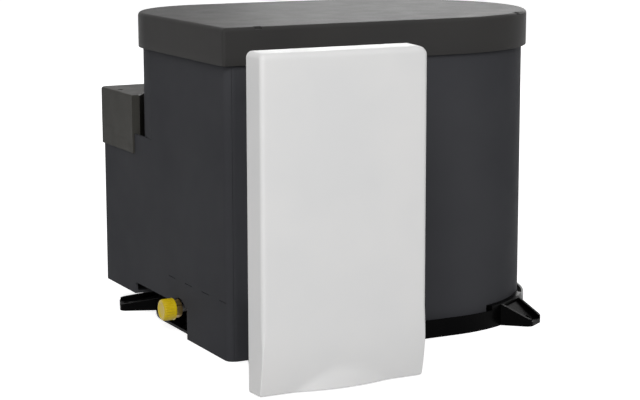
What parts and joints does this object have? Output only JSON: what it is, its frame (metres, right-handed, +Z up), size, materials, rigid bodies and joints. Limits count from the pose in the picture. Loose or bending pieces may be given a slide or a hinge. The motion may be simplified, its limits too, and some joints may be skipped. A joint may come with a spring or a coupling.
{
  "type": "caravan water heater",
  "caption": "Compact caravan gas water heater with D-shaped casing, lift-off lid, base tray with feet, gas valve, connection box and through-wall flue cowl behind a white cover.",
  "frame": {"origin": "on the base plane at the axis of the round tank end", "axes": "+X towards the round tank end, -Y towards the flue cowl and its white cover, +Z up"},
  "size_m": [0.4408, 0.4813, 0.3315],
  "materials": {
    "tray_plastic": "glossy black moulded plastic",
    "casing_plastic": "fine matt dark grey",
    "cover_white": "satin white",
    "stainless": "pickled stainless sheet",
    "rubber_black": "matt",
    "zinc_steel": "bright zinc plate",
    "foam": "beaded foam",
    "aluminised": "aluminised sheet",
    "brass": "machined",
    "ceramic": "glazed white",
    "cowl_black": "matt black",
    "cap_yellow": "soft moulded plastic",
    "cast_alloy": "die cast",
    "coil_black": "moulded coil",
    "board_green": "lacquered board",
    "terminal_grey": "moulded"
  },
  "bodies": {
    "heater": {"base_tray": "tray_plastic", "casing_shell": "casing_plastic", "side_panel": "casing_plastic", "water_tank": "stainless", "heat_exchanger": "stainless", "flange_gasket": "rubber_black", "flange_screws": "zinc_steel", "insulation_lower": "foam", "insulation_upper": "foam", "burner_chamber": "aluminised", "burner_tube": "stainless", "jet_holder": "brass", "ignition_electrode": "ceramic", "flame_sensor": "ceramic", "overheat_switch": "ceramic", "temperature_sensor": "brass", "exhaust_tube": "stainless", "air_duct": "aluminised", "cowl_seal": "rubber_black", "cowl_frame": "cowl_black", "cowl_grille": "cowl_black", "gas_inlet_pipe": "zinc_steel", "gas_union_nut": "brass", "gas_valve_body": "cast_alloy", "solenoid_coil": "coil_black", "plunger_spring": "zinc_steel", "burner_gas_pipe": "stainless", "cold_water_pipe": "stainless", "hot_water_pipe": "stainless", "water_grommets": "rubber_black", "circuit_board": "board_green", "board_parts": "coil_black", "terminal_block": "terminal_grey", "board_screws": "zinc_steel"},
    "lid": {"lid": "casing_plastic"},
    "control_box_cover": {"control_box_cover": "casing_plastic"},
    "cowl_cover": {"cowl_cover": "cover_white"},
    "gas_cap": {"gas_cap": "cap_yellow"},
    "valve_plunger": {"valve_plunger": "zinc_steel"}
  },
  "joints": [
    {"name": "lid_lift", "type": "slide", "parent": "heater", "child": "lid", "axis": [0, 0, 1], "range_m": [0, 0.06]},
    {"name": "box_cover_lift", "type": "slide", "parent": "heater", "child": "control_box_cover", "axis": [0, 0, 1], "range_m": [0, 0.045]},
    {"name": "cowl_cover_pull", "type": "slide", "parent": "heater", "child": "cowl_cover", "axis": [0, -1, 0], "range_m": [0, 0.06]},
    {"name": "gas_cap_pull", "type": "slide", "parent": "heater", "child": "gas_cap", "axis": [-1, 0, 0], "range_m": [0, 0.02]},
    {"name": "plunger_slide", "type": "slide", "parent": "heater", "child": "valve_plunger", "axis": [0, 1, 0], "range_m": [0, 0.002], "stiffness_N_per_m": 300, "springref_m": -0.003, "deforming": ["plunger_spring"]}
  ]
}
